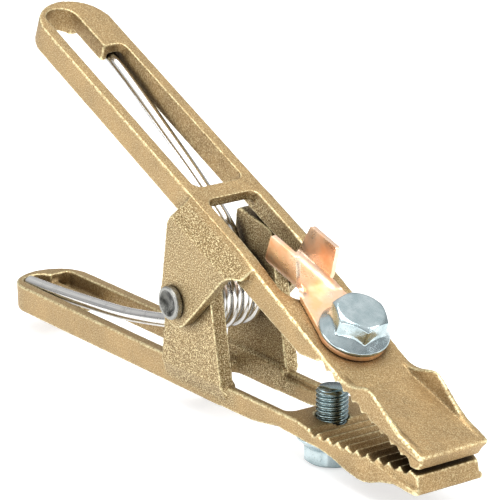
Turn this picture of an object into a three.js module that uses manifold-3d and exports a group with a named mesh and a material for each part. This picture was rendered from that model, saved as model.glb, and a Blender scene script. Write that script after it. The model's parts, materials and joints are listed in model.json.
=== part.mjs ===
// Spring ground clamp: two cast brass levers on a riveted pin, held shut by a torsion spring,
// with a bent copper cable lug under a flange bolt. Millimetres, +Z up.
// Each lever is drawn in its own frame: u (X) runs from the pin towards the jaw, y along the pin,
// and n (Z) outwards, away from the other lever. The lower lever is drawn like the upper one, with
// its own bolt seat and ears, and then mirrored in n.
import * as THREE from 'three';
import { mergeVertices } from 'three/addons/utils/BufferGeometryUtils.js';
import Module from 'manifold-3d';

const wasm = await Module();
wasm.setup();

// ---- Driving dimensions ------------------------------------------------------------------------
const GAP = 0.3;                       // clearance between neighbouring pieces
const CLOSED_ANGLE = rad(24.13);       // between the two levers' handles with the jaws shut

const HALF_WIDTH = 13.3;               // lever, at the handle
const TIP_HALF_WIDTH = 12.8;           // lever, at the jaw tip
const OUTER_FACE = 32.4;               // flat outer face of a lever, from the pin axis
const INNER_EDGE = 23.2;               // inner edge of the handle rails
const HANDLE_END = -119;               // end of the handle loop
const JAW_END = 117.5;                 // front face of the jaw

const SLOT = {
  half: 9.3,                           // half width of the handle slot
  padEdge: 2,                          // near edge of the spring pad
  tip: -115.4,
  step: -92,                           // where the pad ends and the slot widens
  end: -15.5,
  corner: 3,
};
const WINDOW = { start: -9, half: 9.2, backCorner: 3, frontCorner: 7.5 };
const PAD_THICKNESS = 3.8;             // pad and cross web
const PAD_RIDGE = 2.2;                 // ridge that keeps the spring leg in its pocket
const RIDGE_TOP = 26;                  // the ridge's edge, level n
const SPRING_SEAT = { depth: 5.6, length: 17 };

// Bolt seats, and the outer edge of each lever on either side of its seat.
const UPPER_SEAT = {
  u: 60.8, y: 1.2, n: 29.3, tilt: rad(3.5), from: 32, to: 75, windowEnd: 42,
  dip: [[24, 31.9]],
  crest: [[78.5, 29.2], [82, 30.9], [86, 33.6], [89, 34.7], [93, 34.1], [98, 32.8]],
};
const LOWER_SEAT = {
  u: 59.3, y: -1, n: 30.6, tilt: rad(-2.5), from: 47, to: 70, windowEnd: 47,
  dip: [[40, 31.2], [32, 32.1]],
  crest: [[76, 32], [82, 33.7], [89, 34.8], [94, 34.4], [99, 32.8]],
};
const FLAT_ENDS = 15;                  // where the handle's flat face starts to dip to the seat
const WALL_FROM = 19;                  // side walls in front of the ears
const WALL_TO = 55.8;
// Inner edge of the rails between the ears, and of the side walls in front of them.
const UPPER_EDGES = { ears: 25.1, walls: 21.9 };
const LOWER_EDGES = { ears: INNER_EDGE, walls: 24.8 };
const EARS_FROM = -15;
const EARS_TO = 16.5;
const FLOOR_RECESS = { to: 50, half: 10.6, n: 26.9 };
const CREASE = 81;                     // where the jaw's wedge panel starts
const TIP_FLAT = 106;                  // where the side rims come down to the flat tip
const PANEL_END_N = 31.9;              // panel level at the jaw tip
const PANEL_HALF = 10.7;
const PANEL_LEAD = 11;                 // flat run of the panel between the seat and the crease
const RIM_SLOPE_WIDTH = 1.9;
const RIM_HEIGHT = 7;

const TEETH = { first: 63.8, pitch: 4.9, count: 10, depth: 1.8, startN: 25.8, endN: 24.55 };
const BITE_BEVEL = 1.3;                // bevel where the teeth meet the front face
const JAW_RELIEF = { from: 84, depth: 1.3, innerN: 24, outerN: 30 };

const PIN_RADIUS = 4;
const PIN_HEAD_RADIUS = 5.5;
const PIN_HEAD_HEIGHT = 2.3;
// Ears: faces across the pin, radius round it, and the side outlines behind and in front of it.
const UPPER_EAR = {
  inner: 15.6, outer: 19.4, round: 8.5, shoulder: 25.9, top: OUTER_FACE - 0.5,
  behind: [[-12.4, OUTER_FACE], [-12.4, 26.2], [-13.3, 22.5], [-8.5, 1.5]],
  ahead: [[10.9, 3.6], [19, 22.5], [21.5, 26], [25.5, 27.8], [25.5, OUTER_FACE]],
  arc: [rad(170), rad(342)],
};
// The lower ears stand between the upper ears and reach up to the upper lever's rails.
const LOWER_EAR = {
  inner: 10.2, outer: 15.3, shoulder: 24.5, top: OUTER_FACE - 2.5,
  outline: [
    [-15.2, OUTER_FACE - 2], [-14.6, 23.2], [-7, -23.8], [-5.2, -24.7],
    [11, -21.5], [12.2, -20.4], [18.9, 23], [19.5, OUTER_FACE - 2],
  ],
};

const WIRE_RADIUS = 2.25;
const COIL_RADIUS = 9.9;
const COIL_HALF_LENGTH = 7.6;
const COIL_START = rad(-76);
const COIL_TURNS = 3.5;
const LEG_Y = 6.7;                     // legs, from the middle plane; a little more beside the coil
const LEG_Y_AT_COIL = 7.1;
// Each leg's centre line (u, n) in its lever's frame, from the handle end to the coil.
const LOWER_LEG = [[-112, 24.25], [-95, 23.3], [-75, 21.9], [-50, 19.6], [-28, 16], [-12, 12.6]];
const UPPER_LEG = [[-105, 26], [-92, 25.9], [-80, 24.9], [-57, 21.9], [-33, 18.4], [-14, 13.9]];

const BOLT = {
  flange: 11.3, flangeEdge: 1.2, coneTop: 3.1, acrossFlats: 16, head: 9.3, crown: 7.4, drop: 1.3,
  shank: 4.9, length: 15,
};
// The lug's barrel starts to dip into the window at dipFrom; its ends lean inwards as they rise.
const LUG = {
  sheet: 1.6, ring: 10.9, hole: 5.4, neckHalf: 6.9, dipFrom: -22, dip: rad(11.5),
  barrelFrom: -39.5, barrelTo: -22.3, floorHalf: 3, bend: 2.8, flare: rad(7), height: 12.6,
  frontLean: 0.9, rearLean: 2.3,
};
const WEB_CENTRE = (SLOT.end + WINDOW.start) / 2;

const TIP_CORNER = 0.6;                // small bevel of the jaw tip's outer edge
const TIP_DIP = 1.1;                   // dip of the rims just behind the tip
const CURVE_STEPS = 8;                 // straight pieces per arc of a turned outline
const ROUND_STEPS = 36;                // straight pieces around a full circle

// ---- Materials ---------------------------------------------------------------------------------
const brass = metal(0xbf9a5e, 0.5);
const copper = metal(0xd98a5a, 0.25);
const zinc = metal(0xb9c3c8, 0.28);
const springSteel = metal(0xc9cccb, 0.25);
const pinSteel = metal(0x84868a, 0.45);

// ---- Small helpers -----------------------------------------------------------------------------
function rad(degrees) {
  return (degrees * Math.PI) / 180;
}

function metal(color, roughness) {
  return new THREE.MeshStandardMaterial({ color, roughness, metalness: 1 });
}

function signedVolume(positions, triangles) {
  const [a, b, c] = [new THREE.Vector3(), new THREE.Vector3(), new THREE.Vector3()];
  let sum = 0;
  for (let i = 0; i < triangles.length; i += 3) {
    a.fromArray(positions, triangles[i] * 3);
    b.fromArray(positions, triangles[i + 1] * 3);
    c.fromArray(positions, triangles[i + 2] * 3);
    sum += a.dot(b.cross(c));
  }
  return sum / 6;
}

// A closed three.js geometry as a solid, turned right side out if it was mirrored or drawn backwards.
function solid(geometry) {
  geometry.deleteAttribute('normal');
  geometry.deleteAttribute('uv');
  const merged = mergeVertices(geometry, 1e-4);
  const vertProperties = new Float32Array(merged.attributes.position.array);
  const triVerts = new Uint32Array(merged.index.array);
  if (signedVolume(vertProperties, triVerts) < 0) {
    for (let i = 0; i < triVerts.length; i += 3) {
      [triVerts[i + 1], triVerts[i + 2]] = [triVerts[i + 2], triVerts[i + 1]];
    }
  }
  return new wasm.Manifold(new wasm.Mesh({ numProp: 3, vertProperties, triVerts }));
}

function geometryOf(body) {
  const mesh = body.getMesh();
  const geometry = new THREE.BufferGeometry();
  geometry.setAttribute('position', new THREE.BufferAttribute(mesh.vertProperties, 3));
  geometry.setIndex(new THREE.BufferAttribute(mesh.triVerts, 1));
  return geometry;
}

function piece(name, body, material) {
  const geometry = geometryOf(body);
  geometry.computeVertexNormals();
  const mesh = new THREE.Mesh(geometry, material);
  mesh.name = name;
  return mesh;
}

function shapeOf(points) {
  return new THREE.Shape(points.map(([x, y]) => new THREE.Vector2(x, y)));
}

// A plan shape in (u, y), raised from n = low to n = high.
function raised(shape, low, high) {
  const geometry = new THREE.ExtrudeGeometry(shape, {
    depth: high - low, bevelEnabled: false, curveSegments: CURVE_STEPS,
  });
  geometry.translate(0, 0, low);
  return solid(geometry);
}

// A side shape in (u, n), swept along the pin direction from y = low to y = high.
function swept(shape, low, high) {
  const geometry = new THREE.ExtrudeGeometry(shape, {
    depth: high - low, bevelEnabled: false, curveSegments: CURVE_STEPS,
  });
  geometry.rotateX(Math.PI / 2);
  geometry.translate(0, high, 0);
  return solid(geometry);
}

// A cross-section in (y, n), run along u from low to high.
function section(points, low, high) {
  const geometry = new THREE.ExtrudeGeometry(shapeOf(points), {
    depth: high - low, bevelEnabled: false,
  });
  geometry.rotateX(Math.PI / 2);
  geometry.rotateZ(Math.PI / 2);
  geometry.translate(low, 0, 0);
  return solid(geometry);
}

function turned(profile) {
  return solid(new THREE.LatheGeometry(profile.map(([r, y]) => new THREE.Vector2(r, y)), ROUND_STEPS));
}

function rod(radius, low, high) {
  const geometry = new THREE.CylinderGeometry(radius, radius, high - low, ROUND_STEPS);
  geometry.rotateX(Math.PI / 2);
  geometry.translate(0, 0, (high + low) / 2);
  return solid(geometry);
}

function roundedBox(left, right, low, high, leftCorner, rightCorner) {
  const shape = new THREE.Shape();
  shape.moveTo(left + leftCorner, low);
  shape.lineTo(right - rightCorner, low);
  shape.absarc(right - rightCorner, low + rightCorner, rightCorner, -Math.PI / 2, 0, false);
  shape.absarc(right - rightCorner, high - rightCorner, rightCorner, 0, Math.PI / 2, false);
  shape.lineTo(left + leftCorner, high);
  shape.absarc(left + leftCorner, high - leftCorner, leftCorner, Math.PI / 2, Math.PI, false);
  shape.absarc(left + leftCorner, low + leftCorner, leftCorner, Math.PI, Math.PI * 1.5, false);
  return shape;
}

// ---- Levers ------------------------------------------------------------------------------------
function seatLevel(seat, u) {
  return seat.n - (u - seat.u) * Math.tan(seat.tilt);
}

function toothLevel(u) {
  const share = (u - TEETH.first) / (JAW_END - TEETH.first);
  return THREE.MathUtils.lerp(TEETH.startN, TEETH.endN, share);
}

// The biting edge from the front bevel back to the first tooth: sharp ridges, round valleys.
function toothOutline() {
  const stepsPerTooth = 8;
  const last = TEETH.first + TEETH.pitch * TEETH.count;
  const points = [];
  for (let i = TEETH.count * stepsPerTooth; i >= 0; i -= 1) {
    const turn = (i / stepsPerTooth) * Math.PI;
    const u = last - TEETH.pitch * (TEETH.count - i / stepsPerTooth);
    const valley = TEETH.depth * Math.abs(Math.sin(turn));
    points.push(new THREE.Vector2(u, toothLevel(u) + valley));
  }
  return points;
}

// Side view of a lever.
function leverSide(seat, edges) {
  const toVector = ([u, n]) => new THREE.Vector2(u, n);
  const shape = new THREE.Shape();
  shape.moveTo(HANDLE_END, OUTER_FACE);
  shape.lineTo(HANDLE_END, INNER_EDGE);
  shape.lineTo(EARS_FROM - 1, INNER_EDGE);
  shape.lineTo(EARS_FROM, edges.ears);
  shape.lineTo(EARS_TO, edges.ears);
  shape.lineTo(WALL_FROM, edges.walls);
  shape.lineTo(WALL_TO, edges.walls);
  for (const point of toothOutline().reverse()) {
    shape.lineTo(point.x, point.y);
  }
  shape.lineTo(JAW_END - BITE_BEVEL, toothLevel(JAW_END) + BITE_BEVEL);
  shape.lineTo(JAW_END, OUTER_FACE - TIP_CORNER * 2);
  shape.lineTo(JAW_END - TIP_CORNER, OUTER_FACE - TIP_CORNER);
  shape.lineTo(TIP_FLAT, OUTER_FACE - TIP_DIP);
  const seatEnd = [seat.to, seatLevel(seat, seat.to)];
  shape.splineThru([...seat.crest.toReversed(), seatEnd].map(toVector));
  shape.lineTo(seat.from, seatLevel(seat, seat.from));
  shape.splineThru([...seat.dip, [FLAT_ENDS, OUTER_FACE]].map(toVector));
  shape.closePath();
  return shape;
}

function leverPlan() {
  const shape = new THREE.Shape();
  const handleCentre = HANDLE_END + HALF_WIDTH;
  shape.moveTo(handleCentre, -HALF_WIDTH);
  shape.lineTo(CREASE, -HALF_WIDTH);
  shape.lineTo(JAW_END - 1, -TIP_HALF_WIDTH);
  shape.lineTo(JAW_END + 1, -TIP_HALF_WIDTH + 1.5);
  shape.lineTo(JAW_END + 1, TIP_HALF_WIDTH - 1.5);
  shape.lineTo(JAW_END - 1, TIP_HALF_WIDTH);
  shape.lineTo(CREASE, HALF_WIDTH);
  shape.lineTo(handleCentre, HALF_WIDTH);
  shape.absarc(handleCentre, 0, HALF_WIDTH, Math.PI / 2, Math.PI * 1.5, false);
  return shape;
}

// Narrow beside the spring pad, then the full width as far as the cross web.
function slotPlan() {
  const { half, padEdge, tip, step, end, corner } = SLOT;
  const endRadius = (half + padEdge) / 2;
  const shape = new THREE.Shape();
  shape.moveTo(tip + endRadius, -half);
  shape.lineTo(end - corner, -half);
  shape.absarc(end - corner, -half + corner, corner, -Math.PI / 2, 0, false);
  shape.absarc(end - corner, half - corner, corner, 0, Math.PI / 2, false);
  shape.lineTo(step + corner, half);
  shape.absarc(step + corner, half - corner, corner, Math.PI / 2, Math.PI, false);
  shape.lineTo(step, padEdge);
  shape.lineTo(tip + endRadius, padEdge);
  shape.absarc(tip + endRadius, (padEdge - half) / 2, endRadius, Math.PI / 2, Math.PI * 1.5, false);
  return shape;
}

// The hollow under the pad, open towards the slot's wide part, and the space over its low ridge.
function padPocket() {
  const left = HANDLE_END + 7.5;
  const right = SLOT.step + SLOT.corner + 1;
  const hollow = (low, top) => raised(roundedBox(left, right, low, SLOT.half, 2, 0.4), 0, top);
  const pocket = hollow(SLOT.padEdge + PAD_RIDGE, OUTER_FACE - PAD_THICKNESS);
  return pocket.add(hollow(SLOT.padEdge - 1, RIDGE_TOP));
}

// Clears the jaw panel between the two side rims, first along the seat and then along the wedge.
function panelCut(seat) {
  const trough = [
    [-PANEL_HALF, 0],
    [PANEL_HALF, 0],
    [PANEL_HALF + RIM_SLOPE_WIDTH, RIM_HEIGHT],
    [-PANEL_HALF - RIM_SLOPE_WIDTH, RIM_HEIGHT],
  ];
  const start = seatLevel(seat, CREASE);
  const rise = Math.atan2(PANEL_END_N - start, JAW_END - CREASE);
  const wedge = section(trough, 0, 60).rotate([0, -THREE.MathUtils.radToDeg(rise), 0]);
  const flat = section(trough, -PANEL_LEAD, 1).rotate([0, THREE.MathUtils.radToDeg(seat.tilt), 0]);
  return wedge.add(flat).translate([CREASE, 0, start]);
}

// A shallow wedge taken off each side of the jaw, deepest at the tip.
function jawRelief() {
  const outer = HALF_WIDTH + 2;
  const plan = [
    [JAW_RELIEF.from, -HALF_WIDTH],
    [JAW_END + 2, -TIP_HALF_WIDTH + JAW_RELIEF.depth],
    [JAW_END + 2, -outer],
    [JAW_RELIEF.from, -outer],
  ];
  const side = shapeOf([
    [JAW_RELIEF.from, 0],
    [JAW_RELIEF.from, JAW_RELIEF.innerN + 1],
    [JAW_END - 1, JAW_RELIEF.outerN],
    [JAW_END + 2, JAW_RELIEF.outerN],
    [JAW_END + 2, 0],
  ]);
  const near = raised(shapeOf(plan), 0, JAW_RELIEF.outerN).intersect(swept(side, -outer, 0));
  return near.add(near.mirror([0, 1, 0]));
}

function leverCasting(seat, edges) {
  const tall = OUTER_FACE + 10;
  const { to, half, n } = FLOOR_RECESS;
  const webHollow = roundedBox(SLOT.end - 2, WINDOW.start + 2, -SLOT.half, SLOT.half, 0.5, 0.5);
  return swept(leverSide(seat, edges), -HALF_WIDTH, HALF_WIDTH)
    .intersect(raised(leverPlan(), 0, tall))
    .subtract(raised(slotPlan(), 0, tall))
    .subtract(raised(windowPlan(seat.windowEnd), 0, tall))
    .subtract(raised(webHollow, 0, OUTER_FACE - PAD_THICKNESS))
    .subtract(raised(roundedBox(WALL_FROM, to, -half, half, 0.5, 3), 0, n))
    .subtract(padPocket())
    .subtract(panelCut(seat))
    .subtract(jawRelief())
    .subtract(boltHole(seat));
}

function windowPlan(end) {
  const { start, half, backCorner, frontCorner } = WINDOW;
  return roundedBox(start, end, -half, half, backCorner, frontCorner);
}

function boltHole(seat) {
  return rod(BOLT.shank + GAP, -25, 15)
    .rotate([0, THREE.MathUtils.radToDeg(seat.tilt), 0])
    .translate([seat.u, seat.y, seat.n]);
}

function pinHole() {
  const bore = rod(PIN_RADIUS + GAP, -30, 30);
  return bore.rotate([90, 0, 0]);
}

// Mirrors a near-side solid (y below zero) to make the pair.
function pair(near) {
  return near.add(near.mirror([0, 1, 0]));
}

// Upper ears: proud of the lever's sides, with a sloping shoulder, narrowing to the pin.
function upperEars() {
  const { inner, outer, round, shoulder, top, behind, ahead, arc } = UPPER_EAR;
  const side = new THREE.Shape();
  side.moveTo(...behind[0]);
  behind.slice(1).forEach((point) => side.lineTo(...point));
  side.absarc(0, 0, round, ...arc, false);
  ahead.forEach((point) => side.lineTo(...point));
  side.closePath();
  const low = -round - 2;
  const root = -HALF_WIDTH + 1;
  const cross = [
    [-inner, low],
    [-inner, UPPER_EDGES.ears],
    [root, UPPER_EDGES.ears],
    [root, top],
    [-HALF_WIDTH, top],
    [-outer, shoulder],
    [-outer, low],
  ];
  return pair(swept(side, -outer - 1, 0).intersect(section(cross, -20, 30)));
}

// Lower ears: tapering plates that flare out of the lever's sides.
function lowerEars() {
  const { inner, outer, shoulder, top, outline } = LOWER_EAR;
  const low = -OUTER_FACE;
  const cross = [
    [-inner, low],
    [-inner, top],
    [-HALF_WIDTH + 0.2, top],
    [-outer, shoulder],
    [-outer, low],
  ];
  return pair(swept(shapeOf(outline), -outer - 1, 0).intersect(section(cross, -20, 30)));
}

function upperLever() {
  const body = leverCasting(UPPER_SEAT, UPPER_EDGES).add(upperEars()).subtract(pinHole());
  return piece('upper_lever', body, brass);
}

// The seat closes the slot's narrow end so that the near spring leg has something to press on.
function lowerLever() {
  const { depth, length } = SPRING_SEAT;
  const left = HANDLE_END + 2;
  const plan = roundedBox(left, left + length, -SLOT.half - 1, SLOT.padEdge + 1, 4, 0.4);
  const seat = raised(plan, OUTER_FACE - depth, OUTER_FACE - 0.8);
  const body = leverCasting(LOWER_SEAT, LOWER_EDGES).add(seat).add(lowerEars()).subtract(pinHole());
  return piece('lower_lever', body.mirror([0, 0, 1]), brass);
}

// ---- Pin, spring, bolts and lug ----------------------------------------------------------------
function pivotPin() {
  const face = UPPER_EAR.outer + GAP;
  const top = face + PIN_HEAD_HEIGHT;
  const rivet = turned([
    [0, -top + 0.7],
    [2.9, -top + 0.6],
    [3.7, -top],
    [PIN_HEAD_RADIUS - 0.5, -top],
    [PIN_HEAD_RADIUS, -top + 0.5],
    [PIN_HEAD_RADIUS, -face],
    [PIN_RADIUS, -face],
    [PIN_RADIUS, face],
    [PIN_HEAD_RADIUS - 0.2, face],
    [PIN_HEAD_RADIUS - 0.4, face + 0.9],
    [3.6, face + 1.7],
    [0, face + 2],
  ]);
  return piece('pivot_pin', rivet, pinSteel);
}

// A centre-line point given in the upper lever's frame.
function upperFrame(u, y, n) {
  const pinDirection = new THREE.Vector3(0, 1, 0);
  return new THREE.Vector3(u, y, n).applyAxisAngle(pinDirection, CLOSED_ANGLE);
}

// One wire: lower leg, coil round the pin, upper leg.
function springPath() {
  const coilSteps = 84;
  const besideCoil = LOWER_LEG.length - 1;
  const legY = (i) => (i === besideCoil ? LEG_Y_AT_COIL : LEG_Y);
  const points = LOWER_LEG.map(([u, n], i) => new THREE.Vector3(u, -legY(i), -n));
  for (let i = 0; i <= coilSteps; i += 1) {
    const share = i / coilSteps;
    const angle = COIL_START + share * COIL_TURNS * Math.PI * 2;
    const y = THREE.MathUtils.lerp(-COIL_HALF_LENGTH, COIL_HALF_LENGTH, share);
    points.push(new THREE.Vector3(COIL_RADIUS * Math.cos(angle), y, COIL_RADIUS * Math.sin(angle)));
  }
  const upperLeg = UPPER_LEG.map(([u, n], i) => upperFrame(u, legY(i), n));
  points.push(...upperLeg.reverse());
  return new THREE.CatmullRomCurve3(points, false, 'centripetal');
}

function torsionSpring() {
  const wire = new THREE.Shape();
  wire.absarc(0, 0, WIRE_RADIUS, 0, Math.PI * 2, false);
  const geometry = new THREE.ExtrudeGeometry(wire, {
    steps: 170, curveSegments: 5, bevelEnabled: false, extrudePath: springPath(),
  });
  return piece('torsion_spring', solid(geometry), springSteel);
}

// Flange bolt, drawn with its seat at n = 0 and its shank pointing down.
function flangeBolt(name) {
  const { flange, flangeEdge, coneTop, acrossFlats, head, crown, drop, shank, length } = BOLT;
  const corner = acrossFlats / Math.sqrt(3);
  const upright = (body) => body.rotate([90, 0, 0]);
  const hexagon = new THREE.CylinderGeometry(corner, corner, head - flangeEdge, 6);
  hexagon.translate(0, (head + flangeEdge) / 2, 0);
  const top = turned([
    [0, 0],
    [corner + 1, 0],
    [corner + 1, head - drop * 1.5],
    [corner, head - drop],
    [crown, head],
    [0, head],
  ]);
  const skirt = turned([
    [0, 0],
    [flange, 0],
    [flange, flangeEdge],
    [corner, coneTop],
    [0, coneTop],
  ]);
  const stem = turned([
    [0, -length],
    [shank - 1, -length],
    [shank, -length + 1],
    [shank, 1],
    [0, 1],
  ]);
  const body = solid(hexagon).intersect(top).add(skirt).add(stem);
  return piece(name, upright(body), zinc);
}

// Sheet copper lug, drawn with the underside of its ring at n = 0 and the bolt at the origin.
function lugBody() {
  const { sheet, ring, hole, neckHalf, dipFrom, dip, barrelTo } = LUG;
  const overlap = 1;
  const dipped = (s, n) => [
    dipFrom - s * Math.cos(dip) - n * Math.sin(dip),
    n * Math.cos(dip) - s * Math.sin(dip),
  ];
  const reach = dipFrom - barrelTo + overlap;
  const strap = shapeOf([
    [0, 0],
    [0, sheet],
    [dipFrom, sheet],
    dipped(0, sheet),
    dipped(reach, sheet),
    dipped(reach, 0),
    [dipFrom, 0],
  ]);
  const neckPlan = shapeOf([
    [0, -ring],
    [barrelTo, -neckHalf],
    [barrelTo - overlap, -neckHalf],
    [barrelTo - overlap, neckHalf],
    [barrelTo, neckHalf],
    [0, ring],
  ]);
  const neck = swept(strap, -ring, ring).intersect(raised(neckPlan, -ring, ring));
  const barrel = lugBarrel().rotate([0, -THREE.MathUtils.radToDeg(dip), 0]).translate([dipFrom, 0, 0]);
  return rod(ring, 0, sheet).add(neck).add(barrel).subtract(rod(hole, -overlap, sheet + overlap));
}

// The open barrel lying flat, with the start of its dip at u = 0.
function lugBarrel() {
  const { dipFrom, barrelFrom, barrelTo, height, frontLean, rearLean } = LUG;
  const back = barrelFrom - dipFrom;
  const front = barrelTo - dipFrom;
  const ends = shapeOf([
    [back, -1],
    [front, -1],
    [front - frontLean, height],
    [back + rearLean, height],
  ]);
  return section(barrelSection(), back, front).intersect(swept(ends, -HALF_WIDTH, HALF_WIDTH));
}

// U-shaped cross-section in (y, n): flat floor, a bend each side, and wings that lean outwards.
function barrelSection() {
  const { sheet, floorHalf, bend, flare, height } = LUG;
  const sweep = Math.PI / 2 - flare;
  const inside = [];
  const outside = [];
  for (let i = 0; i <= CURVE_STEPS; i += 1) {
    const angle = (sweep * i) / CURVE_STEPS;
    const [sin, cos] = [Math.sin(angle), Math.cos(angle)];
    inside.push([floorHalf + bend * sin, sheet + bend * (1 - cos)]);
    outside.push([floorHalf + (bend + sheet) * sin, (bend + sheet) * (1 - cos)]);
  }
  const climb = (height - bend) / Math.cos(flare);
  const reach = ([y, n]) => [y + climb * Math.sin(flare), n + climb * Math.cos(flare)];
  inside.push(reach(inside.at(-1)));
  outside.push(reach(outside.at(-1)));
  const right = outside.concat(inside.reverse());
  const left = right.map(([y, n]) => [-y, n]).reverse();
  return right.slice(0, -1).concat(left.slice(0, -1));
}

// ---- Assembly ----------------------------------------------------------------------------------
function atSeat(mesh, height) {
  const { u, y, n, tilt } = UPPER_SEAT;
  const up = new THREE.Vector3(Math.sin(tilt), 0, Math.cos(tilt));
  mesh.rotation.y = tilt;
  mesh.position.set(u, y, n).addScaledVector(up, height);
  return mesh;
}

// The lower bolt stands head down on the lower lever's outer face.
function underSeat(mesh) {
  const { u, y, n, tilt } = LOWER_SEAT;
  mesh.rotation.y = Math.PI - tilt;
  mesh.position.set(u + GAP * Math.sin(tilt), y, -n - GAP * Math.cos(tilt));
  return mesh;
}

const upperGroup = new THREE.Group();
upperGroup.rotation.y = CLOSED_ANGLE;
upperGroup.add(upperLever());
upperGroup.add(atSeat(piece('cable_lug', lugBody(), copper), GAP));
upperGroup.add(atSeat(flangeBolt('cable_bolt'), GAP * 2 + LUG.sheet));

// The origin is the middle of the lower lever's cross web, on the flat outer face.
const clamp = new THREE.Group();
clamp.position.set(-WEB_CENTRE, 0, OUTER_FACE);
clamp.add(lowerLever());
clamp.add(upperGroup);
clamp.add(pivotPin());
clamp.add(torsionSpring());
clamp.add(underSeat(flangeBolt('lower_bolt')));

const ground_clamp = new THREE.Group();
ground_clamp.add(clamp);

export default ground_clamp;
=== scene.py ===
"""Looks of a spring ground clamp: two sand-cast brass levers, a plated torsion spring, a steel rivet,
two zinc-plated flange bolts and a bent copper cable lug. Metres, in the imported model's frame."""
import json
import math

import bpy
import numpy as np
from mathutils import Matrix, Vector, noise


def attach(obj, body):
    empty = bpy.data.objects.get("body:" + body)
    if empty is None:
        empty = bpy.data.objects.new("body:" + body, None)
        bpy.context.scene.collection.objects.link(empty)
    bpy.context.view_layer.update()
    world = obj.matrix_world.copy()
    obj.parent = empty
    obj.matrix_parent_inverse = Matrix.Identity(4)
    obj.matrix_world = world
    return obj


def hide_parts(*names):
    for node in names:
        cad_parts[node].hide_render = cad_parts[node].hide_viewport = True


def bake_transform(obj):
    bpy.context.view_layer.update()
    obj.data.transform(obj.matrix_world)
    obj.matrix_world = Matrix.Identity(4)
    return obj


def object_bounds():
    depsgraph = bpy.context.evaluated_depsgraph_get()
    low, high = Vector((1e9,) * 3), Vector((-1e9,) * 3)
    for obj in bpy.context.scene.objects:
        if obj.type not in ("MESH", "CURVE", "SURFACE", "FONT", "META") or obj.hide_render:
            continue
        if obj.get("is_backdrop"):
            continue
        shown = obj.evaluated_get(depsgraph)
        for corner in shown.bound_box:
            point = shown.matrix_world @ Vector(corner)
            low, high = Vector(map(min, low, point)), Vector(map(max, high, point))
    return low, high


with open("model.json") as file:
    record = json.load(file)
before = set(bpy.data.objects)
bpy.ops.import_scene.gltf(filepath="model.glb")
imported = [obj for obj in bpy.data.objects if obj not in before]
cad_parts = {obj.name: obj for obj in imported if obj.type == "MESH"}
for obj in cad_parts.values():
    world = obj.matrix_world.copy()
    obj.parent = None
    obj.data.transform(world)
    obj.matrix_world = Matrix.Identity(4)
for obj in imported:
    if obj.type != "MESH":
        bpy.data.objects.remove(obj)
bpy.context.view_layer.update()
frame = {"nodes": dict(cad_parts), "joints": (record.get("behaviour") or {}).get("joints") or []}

# ---- Driving dimensions, in millimetres unless a name says otherwise ------------------------------
MM = 0.001
JOINTS = {joint["name"]: joint for joint in frame["joints"]}
PIVOT = np.array(JOINTS["jaw_pivot"]["pos_m"]) / MM
CLOSED_ANGLE = math.radians(24.13)     # between the handles with the jaws shut
GAP = 0.3                              # clearance between neighbouring pieces

CAST_VOXEL = 0.45   # size of the castings' surface cells
CAST_SOFTENING = 4                     # smoothing passes that round the cast edges
CAST_WAVES = [(7.0, 0.05), (1.3, 0.03)]    # (size, height) of the castings' unevenness

# Where the castings' skin and painted shade change: pairs of distances over which each effect fades in.
# The first four are along the lever from the pin; the last is from the pin axis towards the outer face.
EARS_BEHIND = (-20, -12)
EARS_AHEAD = (28, 21)
JAW_SKIN = (50, 62)
PAST_HANDLE = (-45, -20)
BELOW_FACE = (31.8, 30)
SKIN_COARSENESS_AND_EAR_SHADE = {"plain": 0.25, "ears": 0.75, "jaw": -0.1}
HANDLE_POCKET_SHADE = 0.45                     # share of the painted pocket shade that the open handles get

WIRE_RADIUS = 2.25
COIL_RADIUS = 9.9
COIL_HALF_LENGTH = 7.6
COIL_START = math.radians(-76)
COIL_TURNS = 3.5
LEG_Y = 6.7                            # legs, from the middle plane; a little more beside the coil
LEG_Y_AT_COIL = 7.1
LOWER_LEG = [(-112, -24.25), (-95, -23.3), (-75, -21.9), (-50, -19.6), (-28, -16), (-12, -12.6)]
UPPER_LEG = [(-14, 13.9), (-33, 18.4), (-57, 21.9), (-80, 24.9), (-92, 25.9), (-105, 26)]

BOLT = {
    "flange": 11.3, "edge": 1.2, "cone_radius": 9.24, "cone_top": 3.1, "across_flats": 16,
    "head": 9.3, "crown": 7.4, "crown_slope": math.radians(36),
    "thread": 5.12, "thread_depth": 0.75, "pitch": 1.5, "length": 15,
}

CABLE_BOLT_TURN = 12                   # degrees, how each bolt's hexagon happens to stand
LOWER_BOLT_TURN = 15

SHEET = 1.6                            # copper thickness
LUG = {
    "ring": 10.9, "hole": 5.4, "neck": 6.9, "barrel_from": -22.3, "barrel_to": -39.5, "fold_from": -17.5,
    "dip_from": -22, "dip": math.radians(11.5), "dip_softness": 0.6,
    "floor": 3.0, "bend": 3.6, "flare": math.radians(7), "height": 12.6,
    "front_lean": -0.9, "rear_lean": 2.3,  # how far the wings' ends lean along the strap
    "corner": 1.0,
}

PIN = {"radius": 4, "head": 5.5, "height": 2.3, "face": 19.7, "rim": (1.4, 1.0)}

CAMERA = {
    "place": (0.84724, -0.56238, 0.36207), "azimuth": 55.547, "elevation": 17.447,
    "roll": -1.375, "lens": 236.7,
}
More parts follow.
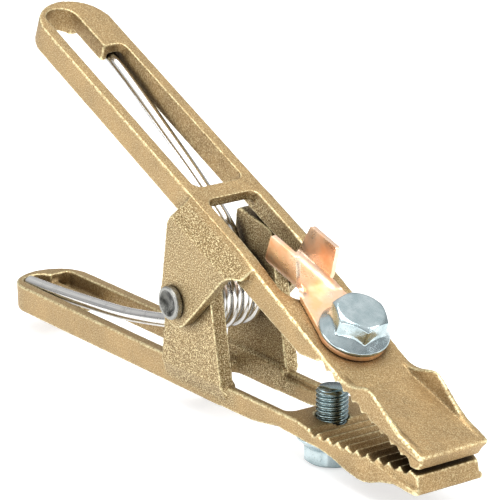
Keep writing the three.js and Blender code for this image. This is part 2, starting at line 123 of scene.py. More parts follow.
# Name, place, target, size (metres) and power (watts) of each soft box.
CLAMP_MIDDLE = (0.01, 0, 0.05)
LIGHTS = [
    ("top_light", (0.05, -0.1, 0.9), CLAMP_MIDDLE, (0.7, 0.7), 6.5),
    ("left_light", (-0.35, -0.9, 0.25), CLAMP_MIDDLE, (0.5, 0.4), 3),
    ("front_light", (0.6, -0.75, 0.06), (0.1, 0, 0.02), (0.3, 0.12), 1.2),
    ("right_light", (0.75, 0.55, 0.5), CLAMP_MIDDLE, (0.4, 0.6), 3),
]
HORIZON_GREY = (0.30, 0.30, 0.31)
WHITE_FROM = 0.75                      # height in the sky from which it is plain white
FLOOR = {"half": 4, "drop": 0.0002, "grey": 0.7, "roughness": 0.8, "glow": 0.6}   # metres

# Among these, the brass gets painted shade on the ears' sides and in pockets, a partly painted edge
# highlight and a darker tone in concave creases.
COLOURS = {
    "brass": (0.45, 0.305, 0.145), "brass_patch": (0.37, 0.255, 0.125), "ear_skin_shade": (0.28, 0.205, 0.105),
    "grain_dark": (0.12, 0.08, 0.035), "grain_light": (0.82, 0.72, 0.44), "pit": (0.14, 0.09, 0.04),
    "crease_dark": (0.08, 0.05, 0.022), "pocket_shade": (0.05, 0.03, 0.012), "rubbed_highlight": (0.85, 0.76, 0.46),
    "copper": (0.96, 0.70, 0.52), "copper_warm": (0.93, 0.53, 0.29), "copper_stain": (0.62, 0.26, 0.10),
    "zinc": (0.54, 0.63, 0.65), "zinc_cloud": (0.38, 0.47, 0.49), "thread": (0.24, 0.32, 0.33),
    "zinc_speck": (0.26, 0.32, 0.34), "zinc_shade": (0.09, 0.12, 0.12),
    "wire": (0.78, 0.77, 0.74), "wire_line": (0.56, 0.56, 0.55), "wire_dull": (0.45, 0.44, 0.42),
    "wire_shade": (0.12, 0.11, 0.09),
    "rivet": (0.12, 0.12, 0.11), "rivet_bloom": (0.03, 0.03, 0.027), "rivet_rim": (0.30, 0.30, 0.28),
}


# ---- Mesh helpers ---------------------------------------------------------------------------------
def smoothstep(low, high, value):
    share = np.clip((value - low) / (high - low), 0, 1)
    return share * share * (3 - 2 * share)


def mesh_object(name, vertices, faces):
    """A smooth-shaded object from vertices in millimetres."""
    mesh = bpy.data.meshes.new(name)
    mesh.from_pydata((np.array(vertices) * MM).tolist(), [], faces)
    mesh.polygons.foreach_set("use_smooth", [True] * len(mesh.polygons))
    mesh.update()
    piece = bpy.data.objects.new(name, mesh)
    bpy.context.scene.collection.objects.link(piece)
    return piece


def apply_modifiers(piece):
    depsgraph = bpy.context.evaluated_depsgraph_get()
    made = bpy.data.meshes.new_from_object(piece.evaluated_get(depsgraph))
    piece.modifiers.clear()
    piece.data = made
    return piece


def store(piece, name, values, kind="FLOAT"):
    """Keeps one value per vertex for the materials to read."""
    attribute = piece.data.attributes.new(name, kind, "POINT")
    field = "vector" if kind == "FLOAT_VECTOR" else "value"
    attribute.data.foreach_set(field, np.asarray(values, np.float32).ravel())


def rounded(outline, steps=5):
    """An outline of (x, y, softness) corners, each corner cut by a small curve."""
    points = []
    for i, (x, y, soft) in enumerate(outline):
        corner = np.array([x, y])
        if soft == 0 or i in (0, len(outline) - 1):
            points.append(corner)
            continue
        before = np.array(outline[i - 1][:2]) - corner
        after = np.array(outline[i + 1][:2]) - corner
        start = corner + before * min(0.5, soft / np.linalg.norm(before))
        end = corner + after * min(0.5, soft / np.linalg.norm(after))
        for t in np.linspace(0, 1, steps):
            points.append(start * (1 - t) ** 2 + corner * 2 * t * (1 - t) + end * t ** 2)
    return points


def turned(name, outline_at, steps):
    """A closed solid of revolution about Z. outline_at(angle) gives (radius, height) points that
    start and end on the axis, the same number at every angle."""
    rings = [outline_at(2 * math.pi * i / steps) for i in range(steps)]
    rows = len(rings[0]) - 2
    vertices = [(0, 0, rings[0][0][1])]
    for i, ring in enumerate(rings):
        angle = 2 * math.pi * i / steps
        for radius, height in ring[1:-1]:
            vertices.append((radius * math.cos(angle), radius * math.sin(angle), height))
    vertices.append((0, 0, rings[0][-1][1]))
    top = len(vertices) - 1
    faces = []
    for i in range(steps):
        here = 1 + i * rows
        there = 1 + ((i + 1) % steps) * rows
        faces.append((0, there, here))
        faces.append((top, here + rows - 1, there + rows - 1))
        for j in range(rows - 1):
            faces.append((here + j, there + j, there + j + 1, here + j + 1))
    return mesh_object(name, vertices, faces)


def sweep(name, path, radius, steps):
    """A round wire along path, with slightly softened square ends."""
    tangents = np.gradient(path, axis=0)
    tangents /= np.linalg.norm(tangents, axis=1)[:, None]
    side = np.cross(tangents[0], (0, 1, 0))
    vertices, drawn, length = [], [], 0
    for i, (point, tangent) in enumerate(zip(path, tangents)):
        side = side - tangent * side.dot(tangent)
        side /= np.linalg.norm(side)
        across = np.cross(tangent, side)
        length += np.linalg.norm(point - path[i - 1]) if i else 0
        size = radius * (0.86 if i in (0, len(path) - 1) else 1)
        for k in range(steps):
            turn = 2 * math.pi * k / steps
            vertices.append(point + size * (side * math.cos(turn) + across * math.sin(turn)))
            drawn.append((length * 0.02, radius * math.cos(turn), radius * math.sin(turn)))
    faces = [tuple(range(steps))[::-1], tuple(len(vertices) - steps + k for k in range(steps))]
    for i in range(len(path) - 1):
        for k in range(steps):
            after = (k + 1) % steps
            row, next_row = i * steps, (i + 1) * steps
            faces.append((row + k, row + after, next_row + after, next_row + k))
    wire = mesh_object(name, vertices, faces)
    store(wire, "drawn", drawn, "FLOAT_VECTOR")
    return wire


def smooth_path(points, spacing):
    """A centripetal Catmull-Rom curve through the points, sampled about every spacing."""
    points = [np.array(p, float) for p in points]
    points = [2 * points[0] - points[1]] + points + [2 * points[-1] - points[-2]]
    path = []
    for p0, p1, p2, p3 in zip(points, points[1:], points[2:], points[3:]):
        d0, d1, d2 = [math.sqrt(np.linalg.norm(b - a)) for a, b in ((p0, p1), (p1, p2), (p2, p3))]
        m1 = ((p1 - p0) / d0 - (p2 - p0) / (d0 + d1) + (p2 - p1) / d1) * d1
        m2 = ((p2 - p1) / d1 - (p3 - p1) / (d1 + d2) + (p3 - p2) / d2) * d1
        count = max(1, round(np.linalg.norm(p2 - p1) / spacing))
        for t in np.arange(count) / count:
            path.append(
                (2 * t**3 - 3 * t**2 + 1) * p1 + (t**3 - 2 * t**2 + t) * m1
                + (3 * t**2 - 2 * t**3) * p2 + (t**3 - t**2) * m2
            )
    path.append(points[-2])
    return np.array(path)


def seat_matrix(joint, height):
    """Places a piece drawn upright on the joint's axis, height above the joint's point."""
    up = Vector(JOINTS[joint]["axis"]).normalized()
    along_pin = Vector((0, 1, 0))
    forward = along_pin.cross(up)
    place = Vector(JOINTS[joint]["pos_m"]) + up * height * MM
    turn = Matrix((forward, along_pin, up)).transposed().to_4x4()
    return Matrix.Translation(place) @ turn


# ---- Levers ---------------------------------------------------------------------------------------
def neighbour_mean(values, edges, count):
    total = np.zeros_like(values)
    np.add.at(total, edges[:, 0], values[edges[:, 1]])
    np.add.at(total, edges[:, 1], values[edges[:, 0]])
    return total / count[:, None]


def store_skin(piece):
    """Keeps, at each vertex, how sharply the surface turns outwards (worn) and inwards (hollow), the
    coarseness of its grain and how much painted shade its pockets get. The outward turn also sets a
    painted edge highlight, and the coarseness sets painted shade on the ears' sides."""
    mesh = piece.data
    places = np.zeros(len(mesh.vertices) * 3, np.float32)
    normals = np.zeros(len(mesh.vertices) * 3, np.float32)
    edges = np.zeros(len(mesh.edges) * 2, np.int64)
    mesh.vertices.foreach_get("co", places)
    mesh.vertices.foreach_get("normal", normals)
    mesh.edges.foreach_get("vertices", edges)
    places, normals, edges = places.reshape(-1, 3), normals.reshape(-1, 3), edges.reshape(-1, 2)
    count = np.bincount(edges.ravel(), minlength=len(places)).clip(1)
    mean = places.copy()
    for _ in range(2):
        mean = neighbour_mean(mean, edges, count)
    bulge = ((places - mean) * normals).sum(1)[:, None] / (CAST_VOXEL * MM)
    bulge = neighbour_mean(bulge, edges, count)
    # the outward turn marks rubbed edges and also sets a painted edge highlight
    store(piece, "worn_highlight", bulge.clip(0, None))
    store(piece, "hollow", (-bulge).clip(0, None))
    along, up = places[:, 0] / MM, np.abs(places[:, 2]) / MM
    ears = smoothstep(*EARS_BEHIND, along) * smoothstep(*EARS_AHEAD, along) * smoothstep(*BELOW_FACE, up)
    jaw = smoothstep(*JAW_SKIN, along)
    share = SKIN_COARSENESS_AND_EAR_SHADE
    # one share sets both the grain's contrast and the painted shade on the ears' sides
    store(piece, "coarse_and_ear_shade", share["plain"] + share["ears"] * ears + share["jaw"] * jaw)
    # share of the painted pocket shade, lower along the open handles
    store(piece, "pocket_shade_share", HANDLE_POCKET_SHADE + (1 - HANDLE_POCKET_SHADE) * smoothstep(*PAST_HANDLE, along))


def roughen(piece):
    """Gives a casting the slight waviness that a sand mould leaves."""
    mesh = piece.data
    normals = [vertex.normal.copy() for vertex in mesh.vertices]
    for vertex, normal in zip(mesh.vertices, normals):
        height = 0
        for size, depth in CAST_WAVES:
            height += depth * noise.noise(vertex.co / (size * MM))
        vertex.co += normal * height * MM
    mesh.update()


def cast_lever(name, node, body, tilt):
    """The lever's surface in even cells that run along the lever, with rounded edges and a cast skin.
    tilt is the lever's turn from the frame's X axis."""
    mesh = frame["nodes"][node].data.copy()
    mesh.name = name
    pivot = Vector(PIVOT * MM)
    to_lever = Matrix.Rotation(-tilt, 4, "Y") @ Matrix.Translation(-pivot)
    mesh.transform(to_lever)
    piece = bpy.data.objects.new(name, mesh)
    bpy.context.scene.collection.objects.link(piece)
    cells = piece.modifiers.new("cells", "REMESH")
    cells.mode = "VOXEL"
    cells.voxel_size = CAST_VOXEL * MM
    cells.use_smooth_shade = True
    soft = piece.modifiers.new("soft", "SMOOTH")
    soft.factor = 0.5
    soft.iterations = CAST_SOFTENING
    apply_modifiers(piece)
    store_skin(piece)
    roughen(piece)
    piece.data.transform(to_lever.inverted())
    piece.data.materials.clear()
    piece.data.materials.append(brass)
    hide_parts(node)
    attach(piece, body)
    return piece


# ---- Spring and rivet -----------------------------------------------------------------------------
def upper_frame(u, y, n):
    cos, sin = math.cos(CLOSED_ANGLE), math.sin(CLOSED_ANGLE)
    return (u * cos + n * sin, y, n * cos - u * sin)


def spring_points():
    """Lower leg, coil round the pin and upper leg, measured from the pin axis."""
    points = [(x, -LEG_Y, z) for x, z in LOWER_LEG[:-1]]
    points.append((LOWER_LEG[-1][0], -LEG_Y_AT_COIL, LOWER_LEG[-1][1]))
    steps = 84
    for i in range(steps + 1):
        share = i / steps
        angle = COIL_START + share * COIL_TURNS * 2 * math.pi
        y = (2 * share - 1) * COIL_HALF_LENGTH
        points.append((COIL_RADIUS * math.cos(angle), y, COIL_RADIUS * math.sin(angle)))
    points.append(upper_frame(UPPER_LEG[0][0], LEG_Y_AT_COIL, UPPER_LEG[0][1]))
    points += [upper_frame(u, LEG_Y, n) for u, n in UPPER_LEG[1:]]
    return points


def torsion_spring():
    path = smooth_path(spring_points(), 0.7) + PIVOT
    wire = sweep("spring_wire", path, WIRE_RADIUS, 28)
    wire.data.materials.append(plated_wire())
    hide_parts("torsion_spring")
    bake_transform(wire)


def pivot_rivet():
    """The near head is dished with a raised rim, the far end is hammered to a shallow dome."""
    radius, head, height, face = PIN["radius"], PIN["head"], PIN["height"], PIN["face"]
    top = face + height
    outline = rounded([
        (0, -top + 1.1, 0), (2.2, -top + 1.0, 0.4), (3.4, -top + 0.35, 0.5), (4.3, -top, 0.4),
        (head - 0.3, -top, 0.3), (head, -top + 0.5, 0.3), (head, -face, 0.25), (radius, -face, 0.1),
        (radius, face, 0.1), (head - 0.2, face, 0.25), (head - 0.4, face + 0.9, 0.5),
        (3.6, face + 1.7, 0.8), (0, face + 2, 0),
    ])
    rivet = turned("pivot_rivet", lambda angle: outline, 96)
    places = np.array([vertex.co for vertex in rivet.data.vertices]) / MM
    across = np.hypot(places[:, 0], places[:, 1])
    rim = smoothstep(head - PIN["rim"][0], head - PIN["rim"][1], across)
    store(rivet, "rim", rim * (np.abs(places[:, 2]) > face))
    rivet.data.transform(Matrix.Translation(PIVOT * MM) @ Matrix.Rotation(math.radians(-90), 4, "X"))
    rivet.data.materials.append(rivet_steel())
    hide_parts("pivot_pin")
    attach(rivet, "lower_jaw")


# ---- Flange bolts ---------------------------------------------------------------------------------
def hexagon_radius(angle):
    """Distance from the axis to a hexagon whose corners are slightly rounded."""
    power = 90
    total = sum(max(0, math.cos(angle - k * math.pi / 3)) ** power for k in range(6))
    return BOLT["across_flats"] / 2 / total ** (1 / power)


def thread_radius(angle, height):
    """A helical V-thread whose crests and roots are rounded, tapering in at the free end."""
    turn = height / BOLT["pitch"] - angle / (2 * math.pi)
    wave = abs(2 * (turn - math.floor(turn)) - 1)
    root = BOLT["thread"] - BOLT["thread_depth"]
    radius = root + BOLT["thread_depth"] * smoothstep(0.12, 0.88, wave)
    lead_in = BOLT["thread"] - 0.9 + (height + BOLT["length"])
    return min(radius, lead_in)


def bolt_outline(angle):
    hexagon = hexagon_radius(angle)
    slope = (BOLT["cone_top"] - BOLT["edge"]) / (BOLT["flange"] - BOLT["cone_radius"])
    foot = BOLT["edge"] + (BOLT["flange"] - hexagon) * slope
    shoulder = BOLT["head"] - (hexagon - BOLT["crown"]) * math.tan(BOLT["crown_slope"])
    points = [(0, -BOLT["length"])]
    rows = round((BOLT["length"] - 1) / BOLT["pitch"] * 14)
    for height in np.linspace(-BOLT["length"], -1, rows):
        points.append((thread_radius(angle, height), height))
    head = rounded([
        (BOLT["thread"] - 0.3, -0.5, 0), (BOLT["thread"] - 0.3, 0, 0.1),
        (BOLT["flange"] - 0.4, 0, 0.2), (BOLT["flange"], 0.35, 0.2),
        (BOLT["flange"], BOLT["edge"] - 0.1, 0.35), (hexagon, foot, 0.7),
        (hexagon, shoulder, 0.35), (BOLT["crown"], BOLT["head"], 0.6), (2.5, BOLT["head"] - 0.04, 1),
        (0, BOLT["head"] - 0.05, 0),
    ])
    return points + [tuple(point) for point in head]


def flange_bolt(name, node, body, joint, height, turn):
    bolt = turned(name, bolt_outline, 180)
    store(bolt, "shank", [float(vertex.co.z < -0.4 * MM) for vertex in bolt.data.vertices])
    place = seat_matrix(joint, height) @ Matrix.Rotation(math.radians(turn), 4, "Z")
    bolt.data.transform(place)
    bolt.data.materials.append(zinc)
    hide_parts(node)
    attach(bolt, body)


# ---- Cable lug ------------------------------------------------------------------------------------
def lug_half_width(a):
    """Half width of the strap at distance a from the bolt axis: a ring that runs into a taper."""
    circle = math.sqrt(max(0, LUG["ring"] ** 2 - a * a))
    if a > 0:
        return circle
    share = min(1, a / LUG["barrel_from"])
    return max(circle, LUG["ring"] + (LUG["neck"] - LUG["ring"]) * share)


def dipped(a, b, n):
    """Bends the strap down behind dip_from: (a, b, n) on the straight strap to its real place."""
    behind = (LUG["dip_from"] - a) / LUG["dip_softness"]
    share = 1 / (1 + math.exp(-behind))
    drop = LUG["dip_softness"] * math.log1p(math.exp(behind))
    shift = (1 - math.cos(LUG["dip"])) * drop - math.sin(LUG["dip"]) * share * n
    return (a + shift, b, n - math.sin(LUG["dip"]) * drop)


def lug_point(a, b, lean=0.0):
    """Where a point of the flat pattern lands: a along the strap, b across it."""
    fold = max(1e-4, float(smoothstep(LUG["fold_from"], LUG["barrel_from"] + 0.5, a)))
    sweep_angle = (math.pi / 2 - LUG["flare"]) * fold
    arc = LUG["bend"] * (math.pi / 2 - LUG["flare"])
    radius = arc / sweep_angle
    beyond = abs(b) - LUG["floor"]
    if beyond <= 0:
        return dipped(a, b, SHEET / 2)
    turn = min(beyond, arc) / radius
    straight = max(0, beyond - arc)
    y = LUG["floor"] + radius * math.sin(turn) + straight * math.cos(sweep_angle)
    n = radius * (1 - math.cos(turn)) + straight * math.sin(sweep_angle)
    return dipped(a + lean, math.copysign(y, b), SHEET / 2 + n)


def barrel_share(a):
    """0 at the rear end of the barrel, 1 at its front end."""
    return (a - LUG["barrel_to"]) / (LUG["barrel_from"] - LUG["barrel_to"])


def wing_edge(a):
    """Developed half width of the barrel, with its corners rounded."""
    arc = math.pi / 2 - LUG["flare"]
    level = SHEET / 2 + LUG["bend"] * (1 - math.cos(arc))
    straight = (LUG["height"] - level) / math.sin(arc)
    to_end = min(LUG["barrel_from"] - a, a - LUG["barrel_to"])
    cut = max(0, 1 - to_end / LUG["corner"])
    corner = LUG["corner"] * (1 - math.sqrt(1 - cut * cut))
    return LUG["floor"] + LUG["bend"] * arc + straight - corner


def wing_point(a, b):
    """A point of a wing; the wing's ends lean along the strap as it rises."""
    climb = (abs(b) - LUG["neck"]) / (wing_edge(a) - LUG["neck"])
    share = barrel_share(a)
    return lug_point(a, b, climb * (LUG["rear_lean"] * (1 - share) + LUG["front_lean"] * share))


def add_patch(vertices, faces, stations, columns_at, count, point_at=lug_point):
    """A grid of quads: one row of points for each station along the strap."""
    start = len(vertices)
    for a in stations:
        low, high = columns_at(a)
        for k in range(count + 1):
            vertices.append(point_at(a, low + (high - low) * k / count))
    for i in range(len(stations) - 1):
        for k in range(count):
            first = start + i * (count + 1) + k
            faces.append((first, first + 1, first + count + 2, first + count + 1))


def cable_lug():
    ring = [LUG["ring"] * math.cos(t) for t in np.linspace(0.05, math.pi / 2, 40)]
    neck = list(np.linspace(0, LUG["barrel_from"], 60))[1:]
    shares = [t / 2 + (1 - math.cos(math.pi * t)) / 4 for t in np.linspace(0, 1, 45)]
    barrel = [LUG["barrel_from"] + share * (LUG["barrel_to"] - LUG["barrel_from"]) for share in shares]
    strap = ring + neck + barrel[1:]
    vertices, faces = [], []

    def hole(a):
        return math.sqrt(max(0, LUG["hole"] ** 2 - a * a))

    def far_half(a):
        return hole(a), lug_half_width(a)

    def near_half(a):
        return -lug_half_width(a), -hole(a)

    add_patch(vertices, faces, strap, far_half, 14)
    add_patch(vertices, faces, strap, near_half, 14)
    add_patch(vertices, faces, barrel, lambda a: (LUG["neck"], wing_edge(a)), 24, wing_point)
    add_patch(vertices, faces, barrel, lambda a: (-wing_edge(a), -LUG["neck"]), 24, wing_point)
    lug = mesh_object("copper_lug", vertices, faces)
    weld = lug.modifiers.new("weld", "WELD")
    weld.merge_threshold = 0.002 * MM
    apply_modifiers(lug)
    sheet = lug.modifiers.new("sheet", "SOLIDIFY")
    sheet.thickness = SHEET * MM
    sheet.offset = 0
    sheet.use_even_offset = True
    edge = lug.modifiers.new("edge", "BEVEL")
    edge.width = 0.22 * MM
    edge.segments = 3
    edge.limit_method = "ANGLE"
    edge.angle_limit = math.radians(50)
    apply_modifiers(lug)
    lug.data.transform(seat_matrix("lug_swivel", GAP))
    lug.data.materials.append(bright_copper())
    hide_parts("cable_lug")
    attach(lug, "lug")


# ---- Materials ------------------------------------------------------------------------------------
class Surface:
    """A metal material that is built up by named steps."""

    def __init__(self, name):
        self.material = bpy.data.materials.new(name)
        self.material.use_nodes = True
        self.nodes = self.material.node_tree.nodes
        self.links = self.material.node_tree.links
        self.shader = self.nodes["Principled BSDF"]
        self.shader.inputs["Metallic"].default_value = 1
        scale = self.add("ShaderNodeVectorMath", operation="SCALE")
        scale.inputs["Scale"].default_value = 1 / MM
        self.links.new(self.nodes.new("ShaderNodeTexCoord").outputs["Object"], scale.inputs[0])
        self.place = scale.outputs[0]      # in millimetres

    def add(self, kind, **settings):
        node = self.nodes.new(kind)
        for name, value in settings.items():
            setattr(node, name, value)
        return node

    def link(self, source, node, socket):
        self.links.new(source, node.inputs[socket])

    def noise(self, size, detail=2, vector=None):
        """Noise whose features are about size millimetres."""
        node = self.add("ShaderNodeTexNoise")
        node.inputs["Scale"].default_value = 1 / size
        node.inputs["Detail"].default_value = detail
        self.link(vector or self.place, node, "Vector")
        return node.outputs["Fac"]

    def attribute(self, name, output="Fac"):
        return self.add("ShaderNodeAttribute", attribute_name=name).outputs[output]

    def shelter(self, reach):
        """0 on open faces, 1 deep in pockets and between pieces; looks reach millimetres away."""
        node = self.add("ShaderNodeAmbientOcclusion", samples=8)
        node.inputs["Distance"].default_value = reach * MM
        open_at, closed_at = 0.85, 0.3
        return self.spread(node.outputs["AO"], open_at, closed_at)

    def spread(self, value, low, high, to_low=0.0, to_high=1.0):
        node = self.add("ShaderNodeMapRange", clamp=True)
        for socket, number in zip((1, 2, 3, 4), (low, high, to_low, to_high)):
            node.inputs[socket].default_value = number
        self.link(value, node, 0)
        return node.outputs[0]

    def math(self, operation, first, second):
        node = self.add("ShaderNodeMath", operation=operation)
        for socket, value in enumerate((first, second)):
            if isinstance(value, (int, float)):
                node.inputs[socket].default_value = value
            else:
                self.link(value, node, socket)
        return node.outputs[0]

    def times(self, first, second):
        return self.math("MULTIPLY", first, second)

    def plus(self, first, second):
        return self.math("ADD", first, second)

    def blend(self, first, second, factor):
        """Mixes two colours, each a tuple or an output, by a factor that is an output."""
        node = self.add("ShaderNodeMix", data_type="RGBA", blend_type="MIX")
        for socket, value in ((6, first), (7, second)):
            if isinstance(value, tuple):
                node.inputs[socket].default_value = (*value, 1)
            else:
                self.link(value, node, socket)
        self.link(factor, node, 0)
        return node.outputs[2]

    def tint(self, colour, over, mask, amount):
        """Lays the named colour over another where the mask is high."""
        return self.blend(colour, COLOURS[over], self.times(mask, amount))

    def bump(self, height, distance, strength, normal=None):
        """Relief of the given depth in millimetres, on top of an earlier relief if there is one."""
        node = self.add("ShaderNodeBump")
        node.inputs["Distance"].default_value = distance * MM
        node.inputs["Strength"].default_value = strength
        self.link(height, node, "Height")
        if normal is not None:
            self.link(normal, node, "Normal")
        return node.outputs["Normal"]

    def finish(self, colour, roughness, normal):
        self.link(colour, self.shader, "Base Color")
        self.link(roughness, self.shader, "Roughness")
        self.link(normal, self.shader, "Normal")
        return self.material


def cast_brass():
    """Satin shot-blasted brass: sparkling grain, pits, pale edges that are partly wear and partly a
    painted edge highlight, dull hollows, and painted shade on the ears' sides and in pockets.
    """
    surface = Surface("sand_cast_brass")
    coarse_and_ear_shade = surface.attribute("coarse_and_ear_shade")
    broad = surface.spread(surface.noise(11, 3), 0.35, 0.65)
    colour = surface.blend(COLOURS["brass"], COLOURS["brass_patch"], broad)
    # partly painted shade: darker brass on the ears' sides below the outer face; the coarser grain there
    # is real
    colour = surface.tint(colour, "ear_skin_shade", coarse_and_ear_shade, 0.55)
    grain = surface.noise(0.38, 2)
    dark = surface.spread(grain, 0.50, 0.34)
    colour = surface.tint(colour, "grain_dark", dark, surface.spread(coarse_and_ear_shade, 0, 1, 0.3, 0.9))
    light = surface.spread(grain, 0.53, 0.66)
    colour = surface.tint(colour, "grain_light", light, surface.spread(coarse_and_ear_shade, 0, 1, 0.25, 1.0))
    pits = surface.noise(1.5, 2)
    colour = surface.tint(colour, "pit", surface.spread(pits, 0.64, 0.74), 0.35)
    # darker where the surface turns inwards, in creases and hollows
    crease_dark = surface.spread(surface.attribute("hollow"), 0.03, 0.25)
    colour = surface.tint(colour, "crease_dark", crease_dark, 0.85)
    # painted shade: darkens the brass in pockets and between pieces, less along the open handles
    pocket_shade = surface.times(surface.shelter(16), surface.attribute("pocket_shade_share"))
    colour = surface.tint(colour, "pocket_shade", pocket_shade, 0.86)
    patchy = surface.spread(surface.noise(0.9, 3), 0.3, 0.62, 0.5, 1.8)
    # partly painted highlight: sharp outward edges turn pale, both as rubbed brass and as a painted
    # bright edge line
    rub_highlight = surface.spread(surface.times(surface.attribute("worn_highlight"), patchy), 0.10, 0.32)
    colour = surface.tint(colour, "rubbed_highlight", rub_highlight, 0.95)
    roughness = surface.spread(grain, 0.3, 0.7, 0.60, 0.44)
    roughness = surface.plus(roughness, surface.times(rub_highlight, -0.16))
    normal = surface.bump(grain, 0.10, 0.9)
    normal = surface.bump(pits, 0.20, 0.6, normal)
    return surface.finish(colour, roughness, normal)


def bright_copper():
    """Bright rolled copper with warm tarnish, a few stains and faint rolling lines."""
    surface = Surface("bright_copper")
    stretch = surface.add("ShaderNodeMapping")
    stretch.inputs["Scale"].default_value = (0.25, 1, 1)
    surface.link(surface.place, stretch, "Vector")
    tarnish = surface.spread(surface.noise(6, 4), 0.44, 0.68)
    colour = surface.blend(COLOURS["copper"], COLOURS["copper_warm"], tarnish)
    stain = surface.spread(surface.noise(2.6, 3), 0.64, 0.80)
    colour = surface.tint(colour, "copper_stain", stain, 0.5)
    lines = surface.noise(0.35, 2, stretch.outputs[0])
    roughness = surface.spread(tarnish, 0, 1, 0.26, 0.40)
    roughness = surface.plus(roughness, surface.spread(lines, 0.4, 0.8, 0, 0.08))
    normal = surface.bump(lines, 0.02, 0.4)
    normal = surface.bump(surface.noise(5, 1), 0.25, 0.5, normal)
    return surface.finish(colour, roughness, normal)


def zinc_plate():
    """Bright bluish zinc over slightly uneven forged steel, darker on the thread and in corners."""
    surface = Surface("zinc_plate")
    cloud = surface.spread(surface.noise(3.5, 3), 0.35, 0.65)
    colour = surface.blend(COLOURS["zinc"], COLOURS["zinc_cloud"], cloud)
    colour = surface.tint(colour, "thread", surface.attribute("shank"), 0.85)
    speck = surface.spread(surface.noise(0.6, 3), 0.58, 0.70)
    colour = surface.tint(colour, "zinc_speck", speck, 0.5)
    colour = surface.tint(colour, "zinc_shade", surface.shelter(5), 0.8)
    roughness = surface.spread(cloud, 0, 1, 0.12, 0.24)
    roughness = surface.plus(roughness, surface.times(speck, 0.15))
    normal = surface.bump(surface.noise(2.2, 2), 0.12, 0.5)
    normal = surface.bump(surface.noise(0.4, 2), 0.02, 0.5, normal)
    return surface.finish(colour, roughness, normal)


def plated_wire():
    """Bright drawn wire: fine lines along its length and a few dull patches."""
    surface = Surface("plated_wire")
    lines = surface.noise(0.5, 3, surface.attribute("drawn", "Vector"))
    dull = surface.spread(surface.noise(5, 3), 0.5, 0.7)
    colour = surface.blend(COLOURS["wire"], COLOURS["wire_line"], surface.spread(lines, 0.45, 0.7))
    colour = surface.tint(colour, "wire_dull", dull, 0.5)
    colour = surface.tint(colour, "wire_shade", surface.shelter(8), 0.6)
    roughness = surface.spread(lines, 0.3, 0.7, 0.10, 0.22)
    roughness = surface.plus(roughness, surface.times(dull, 0.12))
    normal = surface.bump(lines, 0.03, 0.5)
    return surface.finish(colour, roughness, normal)


def rivet_steel():
    """Dark oiled steel, mottled and dented, paler on its rim."""
    surface = Surface("rivet_steel")
    bloom = surface.spread(surface.noise(2.4, 4), 0.4, 0.65)
    colour = surface.blend(COLOURS["rivet"], COLOURS["rivet_bloom"], bloom)
    rim = surface.spread(surface.attribute("rim"), 0.3, 0.8)
    colour = surface.blend(colour, COLOURS["rivet_rim"], rim)
    roughness = surface.spread(bloom, 0, 1, 0.24, 0.42)
    normal = surface.bump(surface.noise(0.8, 3), 0.25, 0.9)
    return surface.finish(colour, roughness, normal)


# ---- Studio ---------------------------------------------------------------------------------------
def soft_box(name, place, target, size, power):
    light = bpy.data.lights.new(name, "AREA")
    light.shape = "RECTANGLE"
    light.size, light.size_y = size
    light.energy = power
    box = bpy.data.objects.new(name, light)
    box.location = place
    box.rotation_euler = (Vector(target) - Vector(place)).to_track_quat("-Z", "Y").to_euler()
    bpy.context.scene.collection.objects.link(box)


def pale_world():
    world = bpy.data.worlds.new("studio")
    world.use_nodes = True
    nodes, links = world.node_tree.nodes, world.node_tree.links
    place = nodes.new("ShaderNodeTexCoord")
    split = nodes.new("ShaderNodeSeparateXYZ")
    ramp = nodes.new("ShaderNodeValToRGB")
    links.new(place.outputs["Generated"], split.inputs[0])
    links.new(split.outputs["Z"], ramp.inputs[0])
    links.new(ramp.outputs[0], nodes["Background"].inputs[0])
    horizon, zenith = ramp.color_ramp.elements
    horizon.color = (*HORIZON_GREY, 1)
    zenith.position = WHITE_FROM
    zenith.color = (1, 1, 1, 1)
    nodes["Background"].inputs["Strength"].default_value = 1.0
    bpy.context.scene.world = world


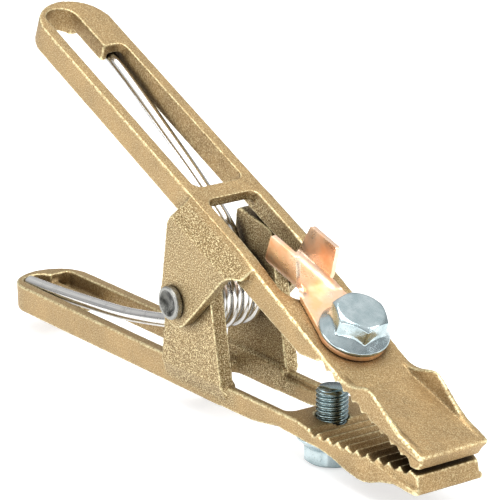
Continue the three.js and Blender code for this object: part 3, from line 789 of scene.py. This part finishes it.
def pale_floor():
    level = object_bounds()[0].z - FLOOR["drop"]
    half = FLOOR["half"]
    corners = [(-half, -half), (half, -half), (half, half), (-half, half)]
    mesh = bpy.data.meshes.new("floor")
    mesh.from_pydata([(x, y, level) for x, y in corners], [], [(0, 1, 2, 3)])
    floor = bpy.data.objects.new("floor", mesh)
    bpy.context.scene.collection.objects.link(floor)
    material = bpy.data.materials.new("floor")
    material.use_nodes = True
    shader = material.node_tree.nodes["Principled BSDF"]
    shader.inputs["Base Color"].default_value = (FLOOR["grey"], FLOOR["grey"], FLOOR["grey"], 1)
    shader.inputs["Roughness"].default_value = FLOOR["roughness"]
    shader.inputs["Emission Color"].default_value = (1, 1, 1, 1)
    shader.inputs["Emission Strength"].default_value = FLOOR["glow"]     # so that shadows stay pale
    mesh.materials.append(material)
    floor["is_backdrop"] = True


def camera():
    data = bpy.data.cameras.new("camera")
    data.lens = CAMERA["lens"]
    data.clip_end = 20
    eye = bpy.data.objects.new("camera", data)
    azimuth, elevation, roll = [math.radians(CAMERA[key]) for key in ("azimuth", "elevation", "roll")]
    turn = Matrix.Rotation(azimuth, 4, "Z") @ Matrix.Rotation(math.pi / 2 - elevation, 4, "X")
    eye.matrix_world = Matrix.Translation(CAMERA["place"]) @ turn @ Matrix.Rotation(roll, 4, "Z")
    bpy.context.scene.collection.objects.link(eye)
    bpy.context.scene.camera = eye


def studio():
    pale_world()
    pale_floor()
    for light in LIGHTS:
        soft_box(*light)
    camera()
    bpy.context.scene.view_settings.view_transform = "Standard"


# ---- Assembly -------------------------------------------------------------------------------------
brass = cast_brass()
zinc = zinc_plate()
cast_lever("lower_casting", "lower_lever", "lower_jaw", 0)
cast_lever("upper_casting", "upper_lever", "upper_jaw", CLOSED_ANGLE)
torsion_spring()
pivot_rivet()
over_lug = GAP + SHEET + GAP
flange_bolt("cable_flange_bolt", "cable_bolt", "upper_bolt", "cable_bolt_turn", over_lug, CABLE_BOLT_TURN)
flange_bolt("lower_flange_bolt", "lower_bolt", "under_bolt", "lower_bolt_turn", GAP, LOWER_BOLT_TURN)
cable_lug()
studio()
